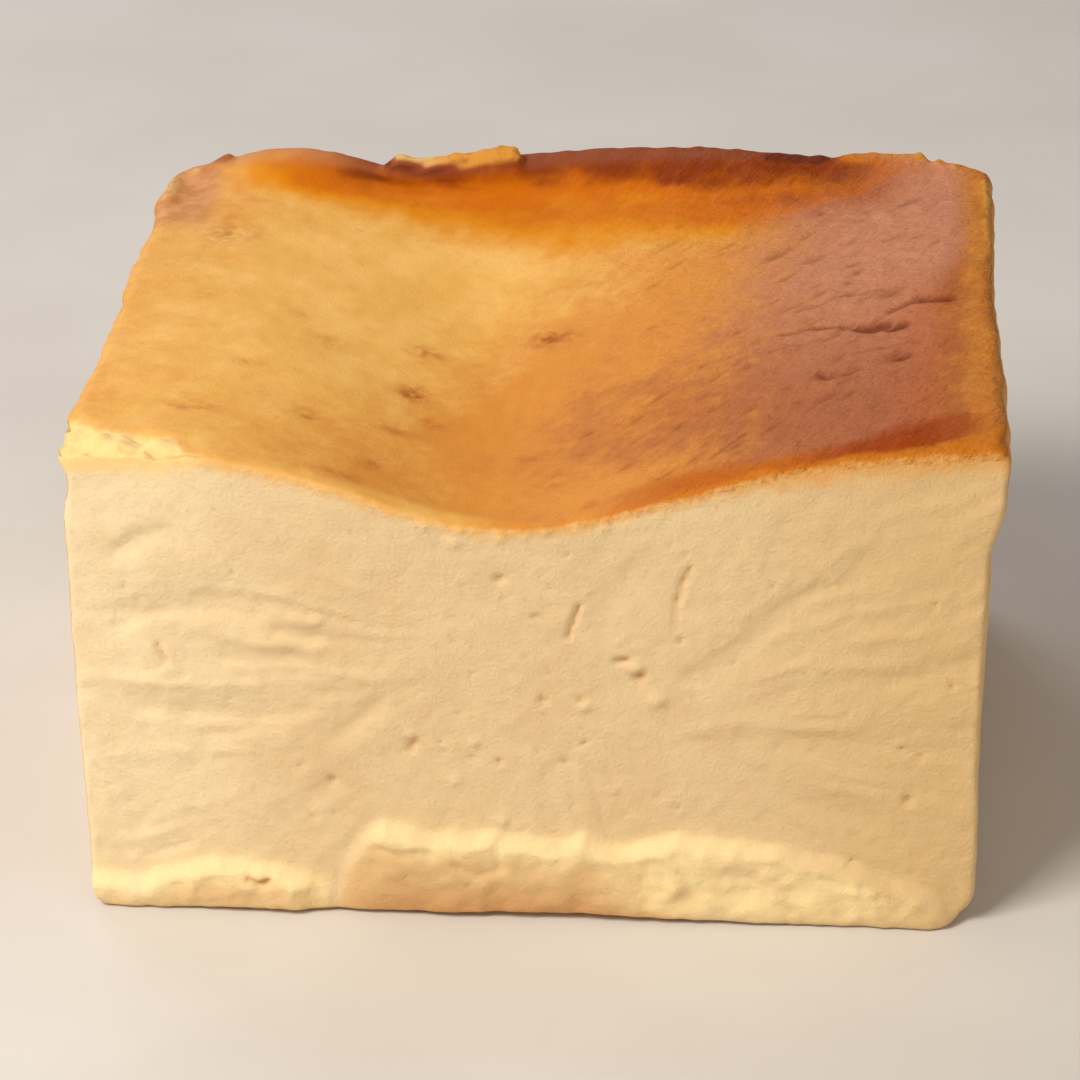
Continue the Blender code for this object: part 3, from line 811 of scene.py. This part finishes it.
def add_colour_fields(mesh, points, shares):
    """Stores what the material reads at each vertex."""
    u, v, w = shares
    x, y, z = points.T
    on_cut, on_top = v <= 0, w >= 0.97
    depth, from_cut = (1 - w) * top_height(u, v), v * np.ptp(y)
    crest_highlight, foot_tone, body_tone = (np.where(on_cut, tone, 0) for tone in lip_highlight_shade_and_tone(x, z))
    fields = {
        "depth_mm": depth,
        "edge_mm": np.where(w < 1, depth, np.maximum(-from_cut, -1.2)),
        "cut_mm": from_cut,
        "torn_mm": torn(x, y),
        "flake": np.where(on_top, flakes(x, y)[1], 0),
        "tanning": tanning(x, y),
        "browning": browning(x, y),
        # dull rose: partly reddish browning, partly painted sheen
        "rose_and_sheen": rose_and_sheen(x, y),
        "front_brown": front_band(x, y, FRONT_BROWN_EDGE, 2) * ease(x, 5, 18) * ease(x, 58, 46),
        "front_gold": front_band(x, y, FRONT_GOLD_EDGE, 0.8) * ease(x, 6, 16),
        "speckle": speckle(x, y),
        # painted shade in cracks and pits
        "crack_shade": crack_and_pit_shade(x, y),
        # painted shade in slits and bubbles
        "slit_shade": np.where(on_cut, slit_and_bubble_shade(x, z), 0),
        # painted highlight on the lips' crests
        "lip_crest_highlight": crest_highlight,
        # painted shade at the lips' feet
        "lip_foot_shade": foot_tone,
        "lip_body": body_tone,
    }
    for name, values in fields.items():
        mesh.attributes.new(name, "FLOAT", "POINT").data.foreach_set("value", values.astype(np.float32))


# Materials


def srgb(red, green, blue):
    """A colour given as 0 to 255 screen values, as the linear values that shaders take."""
    channels = (np.array((red, green, blue)) / 255 + 0.055) / 1.055
    return (*(channels ** 2.4), 1.0)


class Paint:
    """Short calls for building one material's node tree."""

    def __init__(self, name):
        self.material = bpy.data.materials.new(name)
        self.material.use_nodes = True
        self.tree = self.material.node_tree
        self.surface = self.tree.nodes["Principled BSDF"]
        self.place = self.node("ShaderNodeTexCoord", {}).outputs["Object"]

    def feed(self, node, inputs):
        """Links or sets a node's inputs."""
        for name, value in inputs.items():
            if isinstance(value, bpy.types.NodeSocket):
                self.tree.links.new(value, node.inputs[name])
            else:
                node.inputs[name].default_value = value

    def node(self, kind, inputs, **settings):
        """A new node with its settings and inputs."""
        made = self.tree.nodes.new(kind)
        for name, value in settings.items():
            setattr(made, name, value)
        self.feed(made, inputs)
        return made

    def field(self, name):
        """What the mesh stores under this name."""
        return self.node("ShaderNodeAttribute", {}, attribute_name=name).outputs["Fac"]

    def math(self, operation, first, second):
        return self.node("ShaderNodeMath", {0: first, 1: second}, operation=operation).outputs[0]

    def times(self, first, second):
        return self.math("MULTIPLY", first, second)

    def plus(self, first, second):
        return self.math("ADD", first, second)

    def noise(self, size, detail=2.0, roughness=0.5, stretch=None, turn=0.0):
        """Noise around 0.5, with blobs of the given size in millimetres."""
        place = self.place
        if stretch:
            inputs = {"Vector": place, "Rotation": (0, 0, turn), "Scale": stretch}
            place = self.node("ShaderNodeMapping", inputs, vector_type="TEXTURE").outputs[0]
        inputs = {"Vector": place, "Scale": 1 / (size * MM), "Detail": detail, "Roughness": roughness}
        return self.node("ShaderNodeTexNoise", inputs).outputs["Fac"]

    def ramp(self, value, low, high, to_low=0.0, to_high=1.0):
        """Smooth change from to_low at low to to_high at high."""
        inputs = {"Value": value, "From Min": low, "From Max": high, "To Min": to_low, "To Max": to_high}
        return self.node("ShaderNodeMapRange", inputs, interpolation_type="SMOOTHSTEP").outputs[0]

    def along(self, axis, low, high, to_low=0.0, to_high=1.0):
        """Smooth change from low to high along one axis, in millimetres."""
        place = self.node("ShaderNodeSeparateXYZ", {0: self.place}).outputs[axis]
        return self.ramp(place, low * MM, high * MM, to_low, to_high)

    def mix(self, share, first, second):
        """The first colour, with a share of the second."""
        inputs = {"Factor": share, 6: first, 7: second}
        return self.node("ShaderNodeMix", inputs, data_type="RGBA").outputs[2]

    def bump(self, height, distance):
        inputs = {"Height": height, "Distance": distance, "Strength": 1.0}
        return self.node("ShaderNodeBump", inputs).outputs[0]


# Colours of skin, flakes, cream, walls and floor
GOLD = srgb(232, 176, 88)
PALE_GOLD = srgb(239, 186, 102)
ORANGE_GOLD = srgb(214, 140, 56)
TAN_BROWN = srgb(174, 100, 50)
AMBER = srgb(219, 136, 13)
ORANGE = srgb(203, 106, 5)
BROWN = srgb(137, 55, 5)
RUSSET = srgb(188, 98, 10)
DEEP_RUSSET = srgb(157, 64, 3)
EDGE_GOLD = srgb(198, 114, 24)
SPECK_BROWN = srgb(184, 104, 38)
DARK_BROWN = srgb(108, 42, 10)
# Dull rose colours: partly the skin's reddish browning, partly a painted sheen
ROSE_SHEEN = srgb(168, 98, 64)
PALE_ROSE_SHEEN = srgb(205, 138, 106)
RED_ROSE_SHEEN = srgb(192, 100, 46)
BACK_ROSE_SHEEN = srgb(174, 96, 54)
RIM_ROSE_SHEEN = srgb(146, 84, 58)
RIM_PEACH_SHEEN = srgb(198, 134, 82)
CORNER_ROSE_SHEEN = srgb(184, 114, 72)
CORNER_PINK_SHEEN = srgb(206, 142, 98)
FLAKE_PALE = srgb(222, 178, 108)
FLAKE_GOLD = srgb(212, 150, 60)
FLAKE_BURNT = srgb(104, 46, 24)
CREAM = srgb(247, 225, 182)
MID_CREAM = srgb(234, 205, 158)
FAR_CREAM = srgb(224, 190, 136)
DEEP_CREAM = srgb(222, 186, 138)
# painted highlight colour of the lips' crests
HIGHLIGHT_CREAM = srgb(253, 226, 168)
TORN_CREAM = srgb(251, 213, 144)
LIP_CREAM = srgb(228, 187, 128)
# painted shade colour at the lips' feet
FOOT_SHADE_TAN = srgb(208, 154, 100)
SKIN_EDGE = srgb(236, 190, 120)
RIGHT_SKIN_EDGE = srgb(228, 168, 92)
WALL_TAN = srgb(221, 165, 98)
WALL_PALE = srgb(236, 196, 136)
FLOOR_GREY = srgb(214, 208, 200)
FLOOR_PALE = srgb(220, 215, 208)


def rose_and_sheen_colour(paint):
    """Dull rose, partly reddish browning and partly painted sheen: paler, with the most painted sheen, to the
    back of the right slope, redder at its rim, peach to brown at the back rim, and patchy pink at the back
    left corner.
    """
    slope = paint.mix(paint.along("Y", -38, 18), ROSE_SHEEN, PALE_ROSE_SHEEN)
    redder = paint.times(paint.along("X", 40, 50), paint.along("Y", 12, -4, 0, 0.5))
    slope = paint.mix(redder, slope, RED_ROSE_SHEEN)
    back = paint.times(paint.along("Y", 28, 38), paint.along("X", 48, 38))
    slope = paint.mix(back, slope, BACK_ROSE_SHEEN)
    rim = paint.mix(paint.along("X", -38, -28), RIM_PEACH_SHEEN, RIM_ROSE_SHEEN)
    corner = paint.mix(paint.ramp(paint.noise(3, 3, 0.6), 0.35, 0.62), CORNER_ROSE_SHEEN, CORNER_PINK_SHEEN)
    rose_with_sheen = paint.mix(paint.times(paint.along("Y", 38, 45), paint.along("X", 42, 34)), slope, rim)
    return paint.mix(paint.along("X", -44, -48), rose_with_sheen, corner)


def banded(paint, colour, uneven):
    """The skin's colour with the bands along the back rim and along the cut, and the rose zones between,
    which are partly painted sheen.
    """
    brown = paint.plus(paint.field("browning"), paint.times(uneven, 0.4))
    right = paint.times(paint.along("X", 20, 34), paint.along("X", 52, 46))
    amber = paint.mix(right, AMBER, BACK_ROSE_SHEEN)
    colour = paint.mix(paint.ramp(brown, 0.0, 0.42), colour, amber)
    colour = paint.mix(paint.ramp(brown, 0.34, 0.6), colour, ORANGE)
    colour = paint.mix(paint.ramp(brown, 0.6, 0.9), colour, BROWN)
    colour = paint.mix(paint.ramp(brown, 0.9, 1.1), colour, DARK_BROWN)
    # the rose zones, partly reddish browning and partly painted sheen
    rosy_sheen = paint.times(paint.field("rose_and_sheen"), paint.ramp(paint.noise(2.2, 3, 0.6), 0.2, 0.75, 0.7, 1.0))
    colour = paint.mix(rosy_sheen, colour, rose_and_sheen_colour(paint))
    russet = paint.mix(paint.along("X", 28, 40), RUSSET, DEEP_RUSSET)
    colour = paint.mix(paint.field("front_brown"), colour, russet)
    return paint.mix(paint.field("front_gold"), colour, EDGE_GOLD)


def skin_colour(paint):
    """Golden skin that turns tan and rose to the right, with bands, specks, cracks and flakes."""
    fine = paint.plus(paint.noise(1.4, 3, 0.6), -0.5)
    streaks = paint.plus(paint.noise(1, 2, 0.5, (3.4, 1.3, 3), SLANT), -0.5)
    streaks = paint.times(streaks, paint.along("X", -20, 25, 0.1, 1.1))
    uneven = paint.times(paint.plus(fine, streaks), 0.3)
    tan = paint.plus(paint.field("tanning"), uneven)
    colour = paint.mix(paint.ramp(paint.noise(7, 2), 0.35, 0.7), GOLD, PALE_GOLD)
    colour = paint.mix(paint.ramp(tan, 0.0, 0.55), colour, ORANGE_GOLD)
    colour = paint.mix(paint.ramp(tan, 0.55, 1.05), colour, TAN_BROWN)
    speck = paint.times(paint.field("speckle"), paint.ramp(paint.noise(1.6, 3), 0.3, 0.6))
    colour = banded(paint, paint.mix(speck, colour, SPECK_BROWN), uneven)
    # painted shade in the cracks and pits
    colour = paint.mix(paint.times(paint.field("crack_shade"), 0.8), colour, DARK_BROWN)
    pale = paint.mix(paint.along("X", -22, -16), FLAKE_PALE, FLAKE_GOLD)
    pale = paint.mix(paint.ramp(paint.noise(1.5, 3, 0.6), 0.5, 0.7, 0, 0.6), pale, TAN_BROWN)
    colour = paint.mix(paint.ramp(paint.field("flake"), 0.0, 0.8), colour, pale)
    return paint.mix(paint.ramp(paint.field("flake"), 0.0, -0.7, 0, 0.9), colour, FLAKE_BURNT)


def cream_colour(paint):
    """Pale cream, deeper to the right, golden under the skin, with a painted yellow highlight on the lips'
    crests and painted tan shade at their feet.
    """
    colour = paint.mix(paint.along("X", -58, -22), CREAM, MID_CREAM)
    colour = paint.mix(paint.along("X", 16, 52), colour, FAR_CREAM)
    colour = paint.mix(paint.ramp(paint.noise(9, 3, 0.6), 0.38, 0.7, 0, 0.35), colour, DEEP_CREAM)
    colour = paint.mix(paint.ramp(paint.noise(1.1, 3, 0.6), 0.5, 0.75, 0, 0.25), colour, DEEP_CREAM)
    colour = paint.mix(paint.times(paint.field("lip_body"), 0.75), colour, LIP_CREAM)
    # painted shade at the lips' feet
    colour = paint.mix(paint.times(paint.field("lip_foot_shade"), 0.9), colour, FOOT_SHADE_TAN)
    # painted highlight along the lips' crests
    colour = paint.mix(paint.times(paint.field("lip_crest_highlight"), 0.95), colour, HIGHLIGHT_CREAM)
    # painted shade in the slits and bubbles
    colour = paint.mix(paint.times(paint.field("slit_shade"), 0.5), colour, ORANGE_GOLD)
    depth = paint.times(paint.field("depth_mm"), paint.along("X", 16, 36, 1.0, 0.6))
    under = paint.plus(depth, paint.times(paint.noise(2.2, 3), 2.4))
    edge = paint.mix(paint.along("X", 10, 34), SKIN_EDGE, RIGHT_SKIN_EDGE)
    return paint.mix(paint.ramp(under, 3.6, 1.7, 0, 0.9), colour, edge)


def wall_colour(paint):
    """Thin tan skin of the walls, paler downwards, with faint upright streaks and small pale spots."""
    colour = paint.mix(paint.ramp(paint.field("depth_mm"), 12, 55), WALL_TAN, WALL_PALE)
    colour = paint.mix(paint.ramp(paint.noise(18, 3, 0.6), 0.3, 0.75, 0, 0.6), colour, WALL_PALE)
    colour = paint.mix(paint.ramp(paint.noise(2, 3, 0.6, (1, 1, 6)), 0.45, 0.8, 0, 0.35), colour, WALL_TAN)
    colour = paint.mix(paint.ramp(paint.noise(0.9, 3, 0.7), 0.58, 0.8, 0, 0.4), colour, TORN_CREAM)
    return paint.mix(paint.ramp(paint.field("depth_mm"), 13, 0, 0, 0.65), colour, ORANGE_GOLD)


def cake_material():
    """Skin on top, cream at the cut and in the torn corner, and a thin tan skin on the walls."""
    paint = Paint("cake_surface")
    ragged = paint.times(paint.plus(paint.noise(1.3, 3, 0.6), -0.5), 1.4)
    frayed = paint.plus(paint.field("edge_mm"), paint.times(ragged, 1.7))
    over = paint.ramp(frayed, 1.4, -0.5)
    bare = paint.ramp(paint.plus(paint.field("torn_mm"), ragged), -2.2, 0.4)
    skin = paint.times(over, paint.math("SUBTRACT", 1.0, bare))
    wall = paint.ramp(paint.plus(paint.field("cut_mm"), ragged), 0.15, 0.6)
    inner = paint.mix(wall, cream_colour(paint), wall_colour(paint))
    torn_top = paint.times(bare, paint.ramp(paint.field("cut_mm"), 0.0, 1.2))
    torn_cut = paint.ramp(paint.plus(paint.field("torn_mm"), ragged), -0.5, 4)
    near_top = paint.ramp(paint.plus(paint.field("depth_mm"), ragged), 4.0, 1.8)
    inner = paint.mix(paint.times(paint.math("MAXIMUM", torn_top, torn_cut), near_top), inner, TORN_CREAM)
    grain = paint.times(paint.noise(0.5, 4, 0.6), paint.ramp(skin, 0, 1, 0.75, 0.45))
    wrinkles = paint.times(paint.noise(0.7, 3, 0.6, (2.6, 1, 1), SLANT), skin)
    wrinkles = paint.times(wrinkles, paint.along("X", -10, 30, 0.07, 2.6))
    paint.feed(paint.surface, {
        "Base Color": paint.mix(skin, inner, skin_colour(paint)),
        "Roughness": paint.ramp(skin, 0, 1, CREAM_ROUGHNESS, SKIN_ROUGHNESS),
        "Normal": paint.bump(paint.plus(grain, wrinkles), GRAIN_DEPTH * MM),
        "Subsurface Weight": paint.ramp(skin, 0, 1, CREAM_SCATTER, SKIN_SCATTER),
        "Subsurface Radius": SCATTER_RADIUS,
        "Subsurface Scale": SCATTER_SCALE * MM,
        "Specular IOR Level": SPECULAR_LEVEL,
    })
    return paint.material


def floor_material():
    """Pale grey with large soft blotches."""
    paint = Paint("pale_floor")
    colour = paint.mix(paint.ramp(paint.noise(50, 3), 0.3, 0.7), FLOOR_GREY, FLOOR_PALE)
    paint.feed(paint.surface, {"Base Color": colour, "Roughness": FLOOR_ROUGHNESS})
    return paint.material


# Pieces


def make_block(material):
    """The whole cake as one closed mesh, which stands for the CAD block."""
    shares, faces = lattice_surface()
    formed = round_edges(block_form(*shares), shares)
    points = stand_in_cad_box(add_relief(formed, shares))
    mesh = bpy.data.meshes.new("cake_block")
    mesh.from_pydata((points * MM).tolist(), [], faces)
    add_colour_fields(mesh, formed, shares)
    mesh.shade_smooth()
    mesh.materials.append(material)
    block = bpy.data.objects.new("cake_block", mesh)
    bpy.context.scene.collection.objects.link(block)
    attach(block, "root")
    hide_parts(NODE)


def make_floor():
    """The ground of the picture, which isn't part of the cake."""
    mesh = bpy.data.meshes.new("floor")
    half = FLOOR_HALF * MM
    corners = [(-half, -half, 0), (half, -half, 0), (half, half, 0), (-half, half, 0)]
    mesh.from_pydata(corners, [], [(0, 1, 2, 3)])
    mesh.materials.append(floor_material())
    floor = bpy.data.objects.new("floor", mesh)
    bpy.context.scene.collection.objects.link(floor)


# Camera and lamps


def make_camera():
    """The viewing angle: from the cut's side, 25 degrees above, a little from the right."""
    turn = Matrix.Rotation(CAMERA_YAW, 3, "Z") @ Matrix.Rotation(math.pi / 2 - CAMERA_PITCH, 3, "X")
    turn = turn @ Matrix.Rotation(CAMERA_ROLL, 3, "Z")
    place = turn @ Vector((-CAMERA_TARGET_ASIDE, -CAMERA_TARGET_DOWN, CAMERA_DISTANCE))
    place.z += (LEFT_RIM_HEIGHT + RIGHT_RIM_HEIGHT) / 4
    data = bpy.data.cameras.new("camera")
    data.lens = CAMERA_LENS
    data.sensor_width = CAMERA_SENSOR
    data.clip_start = CAMERA_CLIP_START * MM
    camera = bpy.data.objects.new("camera", data)
    camera.matrix_world = Matrix.Translation(place * MM) @ turn.to_4x4()
    bpy.context.scene.collection.objects.link(camera)
    bpy.context.scene.camera = camera


def make_lamp(name, place, size, power, colour):
    """A square soft lamp."""
    data = bpy.data.lights.new(name, "AREA")
    data.size, data.energy, data.color = size * MM, power, colour
    lamp = bpy.data.objects.new(name, data)
    lamp.location = Vector(place) * MM
    lamp.rotation_euler = (Vector(LAMP_AIM) - Vector(place)).to_track_quat("-Z", "Y").to_euler()
    bpy.context.scene.collection.objects.link(lamp)


def make_studio():
    """The lamps and the even light round them."""
    for lamp in LAMPS:
        make_lamp(*lamp)
    world = bpy.data.worlds.new("studio")
    world.use_nodes = True
    background = world.node_tree.nodes["Background"]
    background.inputs["Color"].default_value = STUDIO_COLOUR
    background.inputs["Strength"].default_value = STUDIO_STRENGTH
    bpy.context.scene.world = world
    bpy.context.scene.view_settings.view_transform = "Standard"


make_camera()
make_studio()
make_floor()
make_block(cake_material())
